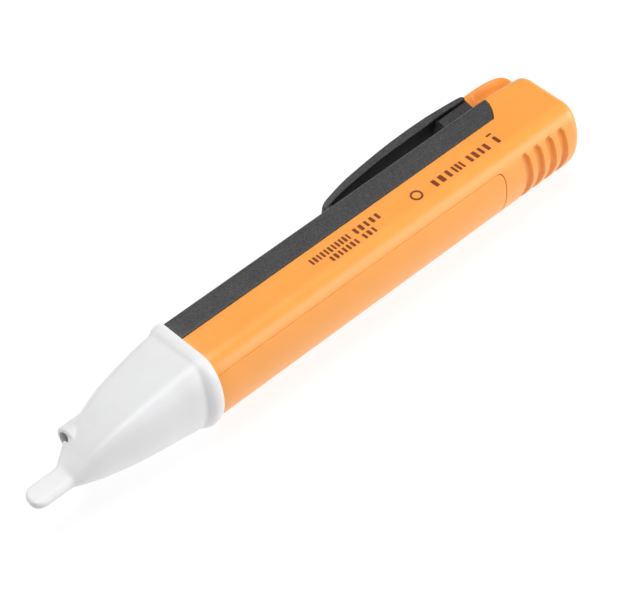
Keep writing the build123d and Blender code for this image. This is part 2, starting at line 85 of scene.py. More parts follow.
shell_low, shell_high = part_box("body_shell")
PEN = Vector((
    cad_low.x + NOSE_LENGTH * MM, shell_low.y + CASE_BOTTOM * MM, (shell_low.z + shell_high.z) / 2))


# ---- making pieces --------------------------------------------------------------------------
def place(work, name, body, material, nodes=(), sharp=35):
    """Turn finished mesh work into a piece that rides on a body and stands for CAD nodes."""
    bmesh.ops.remove_doubles(work, verts=work.verts, dist=1e-5)
    bmesh.ops.recalc_face_normals(work, faces=work.faces)
    work.transform(Matrix.Translation(PEN) @ Matrix.Scale(MM, 4))
    for face in work.faces:
        face.smooth = True
    mesh = bpy.data.meshes.new(name)
    work.to_mesh(mesh)
    work.free()
    mesh.set_sharp_from_angle(angle=radians(sharp))
    mesh.materials.append(material)
    piece = bpy.data.objects.new(name, mesh)
    bpy.context.scene.collection.objects.link(piece)
    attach(piece, body)
    if nodes:
        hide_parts(*nodes)
    return piece


def as_object(work):
    """A temporary object, for modifiers."""
    mesh = bpy.data.meshes.new("work")
    work.to_mesh(mesh)
    work.free()
    item = bpy.data.objects.new("work", mesh)
    bpy.context.scene.collection.objects.link(item)
    return item


def modified(work, steps, tool=None):
    """Mesh work after some modifiers; a boolean step uses the tool."""
    item = as_object(work)
    cutter = as_object(tool) if tool else None
    for kind, values in steps:
        modifier = item.modifiers.new(kind, kind)
        if kind == "BOOLEAN":
            modifier.object = cutter
        for key, value in values.items():
            setattr(modifier, key, value)
    result = bmesh.new()
    result.from_mesh(item.evaluated_get(bpy.context.evaluated_depsgraph_get()).to_mesh())
    for spent in (item, cutter):
        if spent:
            mesh = spent.data
            bpy.data.objects.remove(spent)
            bpy.data.meshes.remove(mesh)
    return result


def full_turn(count):
    """The angles of evenly spaced points around a circle."""
    return [2 * pi * i / count for i in range(count)]


def rounded_rectangle(high, wide, radius, steps):
    """Points around a rounded rectangle about its middle, as (up, across)."""
    points = []
    for up, out, start in ((1, 1, 0), (-1, 1, 1), (-1, -1, 2), (1, -1, 3)):
        for step in range(steps + 1):
            turn = pi / 2 * (start + step / steps)
            points.append((up * (high / 2 - radius) + radius * cos(turn),
                           out * (wide / 2 - radius) + radius * sin(turn)))
    return points


def loft(work, rings, cap=True):
    """A tube through closed rings of points; its ends are closed unless cap is off."""
    rows = [[work.verts.new(point) for point in ring] for ring in rings]
    for low, high in zip(rows, rows[1:]):
        for i in range(len(low)):
            j = (i + 1) % len(low)
            work.faces.new((low[i], low[j], high[j], high[i]))
    if cap:
        work.faces.new(rows[0])
        work.faces.new(rows[-1])


def revolve(work, profile, y, z, steps):
    """A solid turned about a line along the pen; the profile is (x, radius) points."""
    rings = []
    for x, radius in profile:
        rings.append([(x, y + radius * cos(t), z + radius * sin(t)) for t in full_turn(steps)])
    loft(work, rings)


def block(work, low, high):
    """A six-sided solid between two corners."""
    (x0, y0, z0), (x1, y1, z1) = low, high
    loft(work, [[(x, y0, z0), (x, y1, z0), (x, y1, z1), (x, y0, z1)] for x in (x0, x1)])


def thicken(work, wall, radius, gap=0.0, steps=3):
    """Turn an open outer surface into a wall, drawn back by a gap and with rounded outer edges.

    The gap is a length, or gives one for a point."""
    work.normal_update()
    surface = list(work.faces)
    border = [edge for edge in work.edges if edge.is_boundary]
    away = {}
    for edge in border:
        face = edge.link_faces[0]
        start, end = (vert.co for vert in edge.verts)
        out = (end - start).cross(face.normal).normalized()
        if out.dot((start + end) / 2 - face.calc_center_median()) < 0:
            out.negate()
        for vert in edge.verts:
            away.setdefault(vert, []).append(out)
    normals = {vert: vert.normal.copy() for vert in work.verts}
    places = {vert: vert.co.copy() for vert in work.verts}
    drawn = {}
    for vert, outs in away.items():
        mean = (outs[0] + outs[-1]).normalized()
        back = gap(places[vert]) if callable(gap) else gap
        drawn[vert] = (mean, mean * (back / max(0.5, mean.dot(outs[0]))))
    inner = {}
    for vert in list(places):
        back = drawn[vert][1] if vert in drawn else Vector()
        inner[vert] = work.verts.new(places[vert] - back - wall * normals[vert])
    for face in surface:
        work.faces.new([inner[vert] for vert in reversed(face.verts)])
    edges = {}
    for vert, (mean, back) in drawn.items():
        moved = places[vert] - back
        chain = [vert]
        for step in range(1, steps + 1):
            turn = pi / 2 * step / steps
            offset = radius * (1 - sin(turn)) * mean + radius * (1 - cos(turn)) * normals[vert]
            chain.append(work.verts.new(moved - offset))
        vert.co = moved - radius * mean
        edges[vert] = chain + [inner[vert]]
    for edge in border:
        first, second = edges[edge.verts[0]], edges[edge.verts[1]]
        for k in range(steps + 1):
            work.faces.new((first[k], second[k], second[k + 1], first[k + 1]))


# ---- the pen's cross-section ----------------------------------------------------------------
CROWN_STEPS, CORNER_STEPS, UPPER_STEPS, LOWER_STEPS, BELLY_STEPS, DOOR_STEPS = 8, 6, 5, 5, 12, 34
SEAM_COLUMN = CROWN_STEPS + CORNER_STEPS + UPPER_STEPS
DOOR_COLUMN = SEAM_COLUMN + LOWER_STEPS + BELLY_STEPS
BOTTOM_COLUMN = DOOR_COLUMN + DOOR_STEPS
COLUMNS = 2 * BOTTOM_COLUMN


def hermite(t, start, end, leave, arrive):
    """A cubic from start to end, of numbers or of points, with given slopes at its ends."""
    return (start * (2 * t**3 - 3 * t**2 + 1) + leave * (t**3 - 2 * t**2 + t)
            + end * (3 * t**2 - 2 * t**3) + arrive * (t**3 - t**2))


def smooth_through(points, first, last, count):
    """Points along a smooth curve through some points, leaving and arriving in given directions."""
    slopes = []
    for i, point in enumerate(points):
        if i == 0:
            slopes.append(first * (points[1] - point).length)
        elif i == len(points) - 1:
            slopes.append(last * (point - points[i - 1]).length)
        else:
            slopes.append((points[i + 1] - points[i - 1]) / 2)
    curve = []
    for i in range(len(points) - 1):
        for step in range(count):
            curve.append(hermite(step / count, points[i], points[i + 1], slopes[i], slopes[i + 1]))
    return curve + [points[-1]]


def evenly(curve, count):
    """The same curve in equal steps, without its last point."""
    lengths = [0.0]
    for start, end in zip(curve, curve[1:]):
        lengths.append(lengths[-1] + (end - start).length)
    points, k = [], 0
    for i in range(count):
        target = lengths[-1] * i / count
        while lengths[k + 1] < target:
            k += 1
        share = (target - lengths[k]) / (lengths[k + 1] - lengths[k])
        points.append(curve[k].lerp(curve[k + 1], share))
    return points


# the belly between the widest line and the middle: shares of the bottom and of the half width
BELLY = [(0.364, 0.92), (0.694, 0.694), (0.92, 0.364), (1, 0)]
BELLY_START = 0.2           # share of the top's height where the straight side begins to round
BELLY_CURVE_STEPS = 24


def half_section(top, top_half, half, bottom, corner, crown=CROWN):
    """Half of the cross-section as (y, z), from the clip side's middle to the door side's."""
    lean = (half - top_half) / top
    edge = Vector((top, top_half))
    inward = Vector((2 * crown / top_half, -1)).normalized()
    down = Vector((-1, lean)).normalized()
    opening = inward.angle(down)
    reach = corner / tan(opening / 2)
    arc_start, arc_end = edge + inward * reach, edge + down * reach
    centre = edge + (inward + down).normalized() * corner / sin(opening / 2)
    points = []
    for i in range(CROWN_STEPS):
        z = arc_start.y * i / CROWN_STEPS
        rise = crown * (1 - (z / top_half) ** 2)
        points.append(Vector((top + rise, z)))
    turn = pi - opening
    for i in range(CORNER_STEPS):
        share = turn * i / CORNER_STEPS
        out = (arc_start - centre) * sin(turn - share) + (arc_end - centre) * sin(share)
        points.append(centre + out / sin(turn))
    seam = SEAM_Y / CASE_TOP * top
    begin = BELLY_START * top
    seam_point = Vector((seam, half - lean * seam))
    begin_point = Vector((begin, half - lean * begin))
    points += evenly([arc_end, seam_point], UPPER_STEPS)
    points += evenly([seam_point, begin_point], LOWER_STEPS)
    knots = [begin_point, Vector((0, WIDEST * half))]
    knots += [Vector((-bottom * d, half * o)) for d, o in BELLY]
    belly = smooth_through(knots, down, Vector((0, -1)), BELLY_CURVE_STEPS)
    level = DOOR_SEAM_Y / CASE_BOTTOM * bottom
    k = next(i for i, point in enumerate(belly) if point.x < level)
    share = (belly[k - 1].x - level) / (belly[k - 1].x - belly[k].x)
    door_point = belly[k - 1].lerp(belly[k], share)
    points += evenly(belly[:k] + [door_point], BELLY_STEPS)
    points += evenly([door_point] + belly[k:], DOOR_STEPS)
    return points + [Vector((-bottom, 0))]


def ring(half):
    """The whole cross-section from one half."""
    return half + [Vector((point.x, -point.y)) for point in half[-2:0:-1]]


def case_half(grow=0.0, corner=None):
    """Half of the case's outline, or of one parallel to it."""
    corner = CASE_CORNER + max(grow, -CORNER_LOSS) if corner is None else corner
    return half_section(
        CASE_TOP + grow, CASE_TOP_HALF + TOP_SHARE * grow, CASE_HALF + grow, CASE_BOTTOM + grow, corner)


def stations(x, outline):
    """An outline stood across the pen at x."""
    return [(x, point.x, point.y) for point in outline]


# ---- materials ------------------------------------------------------------------------------
NOISE_LOW, NOISE_HIGH = 0.3, 0.7        # the part of a noise's range that most of it lies in
DRIFT_DETAIL = 4
MOULDED_DRIFT_MM, METAL_DRIFT_MM, METAL_GRAIN_HEIGHT = 6.0, 2.0, 0.002


def shader(name, color, roughness, **values):
    """A new material's nodes, links and Principled shader."""
    material = bpy.data.materials.new(name)
    material.use_nodes = True
    tree = material.node_tree
    bsdf = tree.nodes["Principled BSDF"]
    bsdf.inputs["Base Color"].default_value = (*color, 1)
    bsdf.inputs["Roughness"].default_value = roughness
    for key, value in values.items():
        bsdf.inputs[key.replace("_", " ")].default_value = value
    return material, tree, bsdf


def grain(tree, bsdf, size_mm, height_mm, detail=3.0):
    """Fine moulded grain as bump; returns its noise for other uses."""
    coords = tree.nodes.new("ShaderNodeTexCoord")
    noise = tree.nodes.new("ShaderNodeTexNoise")
    noise.inputs["Scale"].default_value = 1 / (size_mm * MM)
    noise.inputs["Detail"].default_value = detail
    bump = tree.nodes.new("ShaderNodeBump")
    bump.inputs["Distance"].default_value = height_mm * MM
    tree.links.new(coords.outputs["Object"], noise.inputs["Vector"])
    tree.links.new(noise.outputs["Fac"], bump.inputs["Height"])
    tree.links.new(bump.outputs["Normal"], bsdf.inputs["Normal"])
    return coords, noise


def vary_color(tree, bsdf, source, dark, light, low=NOISE_LOW, high=NOISE_HIGH):
    """Base colour that goes from dark to light with a noise."""
    ramp = tree.nodes.new("ShaderNodeValToRGB")
    ramp.color_ramp.elements[0].position = low
    ramp.color_ramp.elements[0].color = (*dark, 1)
    ramp.color_ramp.elements[1].position = high
    ramp.color_ramp.elements[1].color = (*light, 1)
    tree.links.new(source.outputs["Fac"], ramp.inputs["Fac"])
    tree.links.new(ramp.outputs["Color"], bsdf.inputs["Base Color"])


def vary_roughness(tree, bsdf, coords, size_mm, low, high):
    """Roughness that drifts over the surface, as on handled plastic."""
    noise = tree.nodes.new("ShaderNodeTexNoise")
    noise.inputs["Scale"].default_value = 1 / (size_mm * MM)
    noise.inputs["Detail"].default_value = DRIFT_DETAIL
    spread = tree.nodes.new("ShaderNodeMapRange")
    spread.inputs["From Min"].default_value = NOISE_LOW
    spread.inputs["From Max"].default_value = NOISE_HIGH
    spread.inputs["To Min"].default_value = low
    spread.inputs["To Max"].default_value = high
    tree.links.new(coords.outputs["Object"], noise.inputs["Vector"])
    tree.links.new(noise.outputs["Fac"], spread.inputs["Value"])
    tree.links.new(spread.outputs["Result"], bsdf.inputs["Roughness"])
    return noise


def moulded(name, color, roughness, grain_mm, height_mm, drift=0.06, tint=0.06, **values):
    """Moulded plastic: fine grain, slow drift of roughness and a little of colour."""
    material, tree, bsdf = shader(name, color, roughness, **values)
    coords, _ = grain(tree, bsdf, grain_mm, height_mm)
    noise = vary_roughness(
        tree, bsdf, coords, MOULDED_DRIFT_MM, roughness - drift, roughness + drift)
    dark = tuple(part * (1 - tint) for part in color)
    light = tuple(min(1.0, part * (1 + tint)) for part in color)
    vary_color(tree, bsdf, noise, dark, light)
    return material


def metal(name, color, roughness, grain_mm=0.4):
    """Plated or drawn metal with a faint uneven sheen."""
    material, tree, bsdf = shader(name, color, roughness, Metallic=1.0)
    coords, _ = grain(tree, bsdf, grain_mm, METAL_GRAIN_HEIGHT)
    vary_roughness(tree, bsdf, coords, METAL_DRIFT_MM, roughness - 0.08, roughness + 0.1)
    return material


orange = moulded("orange_abs", (0.92, 0.36, 0.066), 0.37, 0.35, 0.004, drift=0.04, tint=0.02,
                 Specular_IOR_Level=0.55)
white = moulded("white_plastic", (0.775, 0.775, 0.78), 0.42, 0.4, 0.003, tint=0.01,
                Subsurface_Weight=0.12, Subsurface_Scale=0.0015)

grey, grey_tree, grey_bsdf = shader("grey_abs", (0.07, 0.07, 0.073), 0.5)
grey_coords, grey_noise = grain(grey_tree, grey_bsdf, 0.28, 0.045, detail=2.0)
vary_roughness(grey_tree, grey_bsdf, grey_coords, 5.0, 0.38, 0.55)
vary_color(grey_tree, grey_bsdf, grey_noise, (0.028, 0.028, 0.03), (0.085, 0.085, 0.088), 0.36, 0.72)

# painted shade: a near-black copy of the grey plastic for the clip's underside, standing in for the
# shadow under the arm
grey_painted_shade = moulded("grey_abs_painted_shade", (0.012, 0.012, 0.013), 0.8, 0.28, 0.01, tint=0.3)
rubber = moulded("black_rubber", (0.019, 0.019, 0.02), 0.7, 0.2, 0.012, tint=0.15)
print_ink = moulded("brown_ink", (0.21, 0.036, 0.006), 0.55, 0.15, 0.001, tint=0.12)
nickel = metal("nickel_plate", (0.66, 0.63, 0.58), 0.28)
tin = metal("tinned_wire", (0.62, 0.62, 0.63), 0.35, 0.15)
zinc = metal("zinc_plate", (0.48, 0.49, 0.5), 0.4, 0.25)
brass = metal("rolled_brass", (0.66, 0.46, 0.17), 0.33)
cell_steel = metal("cell_steel", (0.55, 0.56, 0.58), 0.3)
sleeve_blue = moulded("cell_sleeve_blue", (0.035, 0.10, 0.32), 0.32, 0.5, 0.001, tint=0.1)
sleeve_pale = moulded("cell_sleeve_pale", (0.55, 0.57, 0.6), 0.3, 0.5, 0.001)
solder_mask = moulded("green_board", (0.012, 0.12, 0.045), 0.35, 0.6, 0.004, tint=0.25)
chip_epoxy = moulded("black_epoxy", (0.018, 0.018, 0.02), 0.5, 0.12, 0.004, tint=0.2)
fired_clay = moulded("fired_ceramic", (0.38, 0.26, 0.15), 0.45, 0.12, 0.003, tint=0.2)
black_moulding = moulded("black_moulding", (0.02, 0.02, 0.022), 0.4, 0.3, 0.004, tint=0.2)
plunger_white = moulded("plunger_nylon", (0.6, 0.58, 0.52), 0.45, 0.3, 0.003)
can_metal = metal("drawn_can", (0.6, 0.61, 0.63), 0.33)
reflector = metal("lamp_cup", (0.72, 0.72, 0.74), 0.18)
lamp_clear = moulded("clear_epoxy", (0.80, 0.82, 0.84), 0.08, 0.8, 0.0005, drift=0.03, tint=0.02,
                     Transmission_Weight=0.4, IOR=1.5)
lamp_red = moulded("red_epoxy", (0.6, 0.012, 0.01), 0.15, 0.8, 0.0005, drift=0.05,
                   Transmission_Weight=0.55, IOR=1.5)

INNER_MATERIALS = {
    "switch_body": black_moulding,
    "switch_plunger": plunger_white,
    "torch_led_legs": tin,
    "alarm_led": lamp_red,
    "alarm_led_legs": tin,
    "sensor_plate": brass,
    "circuit_board": solder_mask,
    "detector_chip": chip_epoxy,
    "chip_resistors": chip_epoxy,
    "chip_capacitors": fired_clay,
    "transistors": chip_epoxy,
    "reservoir_capacitor": can_metal,
    "buzzer": black_moulding,
    "positive_contact": nickel,
    "negative_contact": nickel,
    "contact_spring": nickel,
    "board_screws": zinc,
    "cover_screws": zinc,
}
for node, material in INNER_MATERIALS.items():
    for material_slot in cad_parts[node].material_slots:
        material_slot.material = material

# ---- case: one grid for the orange shell, the grey cover and the battery door ----------------
GROOVE_X = [92.0, 95.8, 99.6, 103.4]
GROOVE_WIDTH = 2.5
GROOVE_DEPTH = 1.0
GROOVE_LEAN = -0.1
GROOVE_END_ARC = -0.25      # where they end, along the outline from the door's seam line
GROOVE_SCOOP = 0.75         # length of the slow slope, in half widths
GROOVE_WALL_FROM = 0.6      # where the steep wall begins, in half widths from the middle
GROOVE_SPAN = (90, 106)
COVER_SHIFT_SPAN = (84.0, 106.0)        # rows that lean with the cover's rear end
DOOR_SHIFT_SPAN = (74.0, 90.0)          # rows that bend with the door's rounded corner
COVER_END_BEND = 0.9
ROW_SPANS = [
    (0.0, 78.0, 3.0), (78.0, DOOR_END_X, 0.6), (DOOR_END_X, 90.6, 0.6), (90.6, COVER_END_X, 0.15),
    (COVER_END_X, TAIL_START_X, 0.15), (TAIL_START_X, BODY_LENGTH - TAIL_ROUND, 0.15),
]
TAIL_STEPS = 8
TAIL_CAP_INSETS = (0.3, 1.2)
EDGE_ROUND, COVER_EDGE_ROUND = 0.07, 0.12
COVER_GAP = 0.1
SHELL_COVER_GAP, SHELL_DOOR_GAP, DOOR_SHELL_GAP, DOOR_REAR_GAP = 0.09, 0.02, 0.03, 0.1
REAR_GAP_REACH, REAR_GAP_BLEND = 2.5, 2.0


def tent(x, peak, low, high):
    """1 at the peak, falling to 0 at low and high."""
    if x <= peak:
        return max(0.0, (x - low) / (peak - low))
    return max(0.0, (high - x) / (high - peak))


def cover_end_shift(y):
    """How much further back the cover ends at a height above its seam."""
    if y <= SEAM_Y:
        return 0.0
    rise = min(1.0, (y - SEAM_Y) / (CASE_TOP - SEAM_Y))
    return COVER_LEAN * sin(pi / 2 * rise) ** COVER_END_BEND


def door_end_shift(y):
    """How much further forward the door ends near its rounded corner."""
    below = min(DOOR_CORNER, max(0.0, DOOR_SEAM_Y - y))
    return sqrt(DOOR_CORNER**2 - (DOOR_CORNER - below) ** 2) - DOOR_CORNER


def smoothstep(t):
    """A smooth rise from 0 to 1."""
    t = min(1.0, max(0.0, t))
    return t * t * (3 - 2 * t)


def groove_depth(x, arc):
    """Depth of the finger grooves: each scoops in slowly and ends in a steep rear wall."""
    half = GROOVE_WIDTH / 2
    if arc <= 0:
        return 0.0
    short = max(0.0, 1 - arc / half)
    reach = half * sqrt(1 - short**2)
    for centre in GROOVE_X:
        across = (x - centre + GROOVE_LEAN * arc) / reach
        if abs(across) < 1:
            scoop = smoothstep((across + 1) / GROOVE_SCOOP)
            wall = smoothstep((across - GROOVE_WALL_FROM) / (1 - GROOVE_WALL_FROM))
            return GROOVE_DEPTH * min(scoop, 1 - wall) * (reach / half)
    return 0.0


def case_grid():
    """Rows of points over the case's outside, and each row's nominal x."""
    rows, places = [], []
    half = case_half()
    arcs = [0.0]
    for start, end in zip(half[DOOR_COLUMN:], half[DOOR_COLUMN + 1:]):
        arcs.append(arcs[-1] + (end - start).length)
    for low, high, step in ROW_SPANS:
        count = round((high - low) / step)
        for i in range(count):
            places.append(low + (high - low) * i / count)
    outlines = []
    for x in places:
        share = max(0.0, (x - TAIL_START_X) / (BODY_LENGTH - TAIL_ROUND - TAIL_START_X))
        corner = CASE_CORNER + (TAIL_CORNER - CASE_CORNER) * share
        outlines.append(case_half(corner=corner) if share else half)
    for i in range(TAIL_STEPS + 1):
        turn = pi / 2 * i / TAIL_STEPS
        places.append(BODY_LENGTH - TAIL_ROUND * (1 - sin(turn)))
        outlines.append(case_half(-TAIL_ROUND * (1 - cos(turn)), corner=TAIL_CORNER))
    for inset in TAIL_CAP_INSETS:
        places.append(BODY_LENGTH)
        outlines.append(case_half(-TAIL_ROUND - inset, corner=TAIL_CORNER))
    for x, outline in zip(places, outlines):
        row = []
        for column, point in enumerate(outline):
            shift = cover_end_shift(point.x) * tent(x, COVER_END_X, *COVER_SHIFT_SPAN)
            shift += door_end_shift(point.x) * tent(x, DOOR_END_X, *DOOR_SHIFT_SPAN)
            depth = 0.0
            if column >= DOOR_COLUMN and GROOVE_SPAN[0] < x < GROOVE_SPAN[1]:
                depth = groove_depth(x, arcs[column - DOOR_COLUMN] - GROOVE_END_ARC)
            if depth:
                before, after = outline[column - 1], outline[min(column + 1, BOTTOM_COLUMN)]
                along = (after - before).normalized()
                point = point + depth * Vector((-along.y, along.x))
            row.append((x + shift, point))
        rows.append([(x_, p.x, p.y) for x_, p in row] + [(x_, p.x, -p.y) for x_, p in row[-2:0:-1]])
    return rows, places


CASE_ROWS, CASE_PLACES = case_grid()


def folded(column):
    """A grid cell's column counted from the clip side on either side of the pen."""
    return column if column < BOTTOM_COLUMN else COLUMNS - 1 - column


def case_piece(belongs):
    """The open surface made of the grid cells that belong to a piece."""
    work = bmesh.new()
    points = {}

    def vertex(row, column):
        key = (row, column % COLUMNS)
        if key not in points:
            points[key] = work.verts.new(CASE_ROWS[row][column % COLUMNS])
        return points[key]

    for row in range(len(CASE_ROWS) - 1):
        for column in range(COLUMNS):
            if belongs(CASE_PLACES[row], folded(column)):
                work.faces.new((vertex(row, column), vertex(row, column + 1),
                                vertex(row + 1, column + 1), vertex(row + 1, column)))
    return work, points


def in_cover(x, column):
    """Whether a grid cell belongs to the grey cover."""
    return column < SEAM_COLUMN and x < COVER_END_X - 1e-6


def in_door(x, column):
    """Whether a grid cell belongs to the battery door."""
    return column >= DOOR_COLUMN and x < DOOR_END_X - 1e-6


def seam_gap(point, along):
    """How far an edge is drawn back: little along the door's long seams, more at its rear one."""
    if point.y > 0:
        return SHELL_COVER_GAP
    rear = smoothstep((point.x - DOOR_END_X + REAR_GAP_REACH) / REAR_GAP_BLEND)
    return along + (DOOR_REAR_GAP - along) * rear


shell, shell_points = case_piece(lambda x, column: not in_cover(x, column) and not in_door(x, column))
last = len(CASE_ROWS) - 1
shell.faces.new([shell_points[(last, column)] for column in range(COLUMNS)])
thicken(shell, WALL, EDGE_ROUND, gap=lambda point: seam_gap(point, SHELL_DOOR_GAP))


def plate(work, x, thick, outline):
    """A flat plate across the pen, joined to the shell's inside."""
    loft(work, [stations(x, outline), stations(x + thick, outline)])


PLATE_THICK, PLATE_SINK = 1.5, 0.3
FRONT_PLATE_X, FRONT_PLATE_TOP, REAR_PLATE_X = 3.0, 6.2, 100.9
inner = case_half(-WALL + PLATE_SINK)
plate(shell, REAR_PLATE_X, PLATE_THICK, ring(inner))
low_plate = [point for point in inner if point.x < FRONT_PLATE_TOP]
low_plate += [Vector((point.x, -point.y)) for point in reversed(low_plate[:-1])]
plate(shell, FRONT_PLATE_X, PLATE_THICK, low_plate)
# on either side: ribs beside the cells, a rail under the board and a land for the cover's screws;
# each is x from and to, y from and to, z from and to
SHELL_BLOCKS = [(x, x + 1.4, -2.6, 3.0, CELL_RADIUS + 0.25, 9.3) for x in (16, 38, 60, 88)]
SHELL_BLOCKS += [(12, 50, 4.6, 6.3, 6.3, 8.6), (63, 69, 6.2, 7.47, 4.3, 8.6)]
for hand in (-1, 1):
    for x0, x1, y0, y1, near, far in SHELL_BLOCKS:
        z0, z1 = sorted((hand * near, hand * far))
        block(shell, (x0, y0, z0), (x1, y1, z1))
place(shell, "orange_shell", "case", orange, ["body_shell"])

door, _ = case_piece(in_door)
thicken(door, WALL, EDGE_ROUND, gap=lambda point: seam_gap(point, DOOR_SHELL_GAP))
DOOR_RIB_Z, DOOR_RIB_HALF, DOOR_RIB_LOW, DOOR_RIB_HIGH = 4.8, 0.3, -5.2, -3.1
for z in (-DOOR_RIB_Z, DOOR_RIB_Z):
    for start, end in ((12, 42), (50, 80)):
        block(door, (start, DOOR_RIB_LOW, z - DOOR_RIB_HALF), (end, DOOR_RIB_HIGH, z + DOOR_RIB_HALF))
place(door, "orange_battery_door", "door", orange, ["battery_door"])

# ---- spine on the tail ----------------------------------------------------------------------
SPINE_HALF, SPINE_WAIST, SPINE_ROUND = 3.0, 1.3, 0.6
SPINE_START_X, SPINE_BASE_END_X, SPINE_BASE_Y = 96.4, 106.8, 11.0
SPINE_CURVE = [
    (SPINE_START_X, 19.6), (100.5, 19.65), (103.8, 19.45), (106.6, 18.9), (108.2, 18.0), (109.0, 16.7),
    (109.2, 14.6),
]
SPINE_CURVE_STEPS, SPINE_SIDE_STEPS, SPINE_ROUND_STEPS = 8, 10, 6
SPINE_SIDE_TOP = SPINE_ROUND + 0.9      # how far below the top the side's rows end
SPINE_SIDE_FROM = 0.35                  # where they start, as a share of the way up
SPINE_HOLLOW_IN, SPINE_HOLLOW_OUT = 6, 10   # rows over which the hollow deepens and ends
spine = bmesh.new()
knots = [Vector(point) for point in SPINE_CURVE]
curve = smooth_through(knots, (knots[1] - knots[0]).normalized(), Vector((0, -1)), SPINE_CURVE_STEPS)
end_row = len(curve) - 1
rings = []
for i, point in enumerate(curve):
    before, after = curve[max(i - 1, 0)], curve[min(i + 1, end_row)]
    along = (after - before).normalized()
    down = Vector((along.y, -along.x))
    base = Vector((SPINE_START_X + (SPINE_BASE_END_X - SPINE_START_X) * i / end_row, SPINE_BASE_Y))
    drop = point + down * SPINE_SIDE_TOP
    side = [(base, SPINE_HALF)]
    deepening = smoothstep(min(i / SPINE_HOLLOW_IN, (end_row - i) / SPINE_HOLLOW_OUT))
    hollow = (SPINE_HALF - SPINE_WAIST) * deepening
    for step in range(SPINE_SIDE_STEPS):
        share = step / SPINE_SIDE_STEPS
        waist = SPINE_HALF - hollow * (1 - (2 * share - 1) ** 4)
        side.append((base.lerp(drop, SPINE_SIDE_FROM + (1 - SPINE_SIDE_FROM) * share), waist))
    for step in range(SPINE_ROUND_STEPS + 1):
        turn = pi / 2 * (1 - step / SPINE_ROUND_STEPS)
        inset = point + down * SPINE_ROUND * (1 - cos(turn))
        side.append((inset, SPINE_HALF - SPINE_ROUND * (1 - sin(turn))))
    left = [(p.x, p.y, z) for p, z in side]
    rings.append(left + [(x, y, -z) for x, y, z in left[::-1]])
loft(spine, rings)
place(spine, "orange_spine", "case", orange)

# ---- grey cover with the clip's root block ---------------------------------------------------
BUTTON_X, BUTTON_LENGTH, BUTTON_WIDTH = 28.0, 12.0, 7.0
SLOT_CLEARANCE, SLOT_LOW_Y, SLOT_HIGH_Y = 0.3, 10.0, 16.0
BLOCK_LOW, BLOCK_HIGH = (86.9, 12.4, -3.2), (96.3, 18.3, 3.2)


def slot_outline(length, width, steps=16):
    """A slot's outline in x and z about the button's middle."""
    radius = width / 2
    straight = length / 2 - radius
    points = []
    for end in (1, -1):
        for i in range(steps + 1):
            turn = -pi / 2 + pi * i / steps
            points.append((BUTTON_X + end * (straight + radius * cos(turn)), end * radius * sin(turn)))
    return points


cover, _ = case_piece(in_cover)
thicken(cover, WALL, COVER_EDGE_ROUND, gap=COVER_GAP)
slot = bmesh.new()
outline = slot_outline(BUTTON_LENGTH + SLOT_CLEARANCE, BUTTON_WIDTH + SLOT_CLEARANCE)
loft(slot, [[(x, y, z) for x, z in outline] for y in (SLOT_LOW_Y, SLOT_HIGH_Y)])
bmesh.ops.recalc_face_normals(slot, faces=slot.faces)
bmesh.ops.recalc_face_normals(cover, faces=cover.faces)
cover = modified(cover, [("BOOLEAN", {"operation": "DIFFERENCE", "solver": "EXACT"})], slot)
place(cover, "grey_cover", "case", grey, ["top_cover"])

root = bmesh.new()
block(root, BLOCK_LOW, BLOCK_HIGH)
root = modified(root, [("BEVEL", {"width": 0.35, "segments": 3, "limit_method": "ANGLE"})])
place(root, "grey_clip_root", "case", grey)

# ---- pocket clip ----------------------------------------------------------------------------
CLIP_ROUND, CLIP_CURVE_STEPS, CLIP_ROUND_STEPS, CLIP_VOXEL = 0.4, 5, 4, 0.13
# each row: upper x, y, lower x, y, half width
CLIP_ROWS = [
    (49.95, 16.7, 50.1, 16.1, 3.0),
    (50.3, 17.15, 50.6, 15.9, 3.4),
    (51.75, 17.75, 52.2, 16.1, 3.65),
    (54.9, 18.4, 55.2, 16.6, 3.9),
    (58.0, 18.95, 58.3, 16.95, 4.0),
    (61.2, 19.35, 61.5, 17.3, 4.0),
    (67.4, 19.9, 67.6, 17.8, 4.0),
    (73.7, 20.3, 73.8, 18.05, 4.0),
    (80.0, 20.45, 80.0, 18.12, 4.0),
    (83.5, 20.42, 83.6, 18.2, 4.0),
    (86.4, 20.34, 86.5, 18.4, 4.0),
    (91.5, 20.0, 91.5, 18.42, 4.0),
    (95.4, 19.6, 95.6, 18.42, 4.0),
    (96.3, 19.1, 96.3, 18.5, 3.9),
]
clip = bmesh.new()
upper = [Vector(row[:2]) for row in CLIP_ROWS]
lower = [Vector(row[2:4]) for row in CLIP_ROWS]
widths = [Vector((row[4], 0)) for row in CLIP_ROWS]
paths = []
for line in (upper, lower):
    start, end = (line[1] - line[0]).normalized(), (line[-1] - line[-2]).normalized()
    paths.append(smooth_through(line, start, end, CLIP_CURVE_STEPS))
halves = smooth_through(widths, Vector((1, 0)), Vector((0, 0)), CLIP_CURVE_STEPS)
rings = []
for top, bottom, width in zip(*paths, halves):
    height = (top - bottom).length
    up = (top - bottom) / height
    radius = min(CLIP_ROUND, height / 2 - 0.05)
    outline = []
    for rise, across in rounded_rectangle(height, 2 * width.x, radius, CLIP_ROUND_STEPS):
        point = (top + bottom) / 2 + up * rise
        outline.append((point.x, point.y, across))
    rings.append(outline)
loft(clip, rings)
NUB_RADIUS, NUB_X, NUB_Y, NUB_HALF, NUB_STEPS = 1.15, 51.15, 15.75, 3.3, 20
rings = []
for z, scale in ((-1, 0.55), (-0.94, 0.85), (-0.84, 1), (0.84, 1), (0.94, 0.85), (1, 0.55)):
    radius = NUB_RADIUS * scale
    rings.append([
        (NUB_X + radius * cos(t), NUB_Y + radius * sin(t), z * NUB_HALF) for t in full_turn(NUB_STEPS)])
loft(clip, rings)
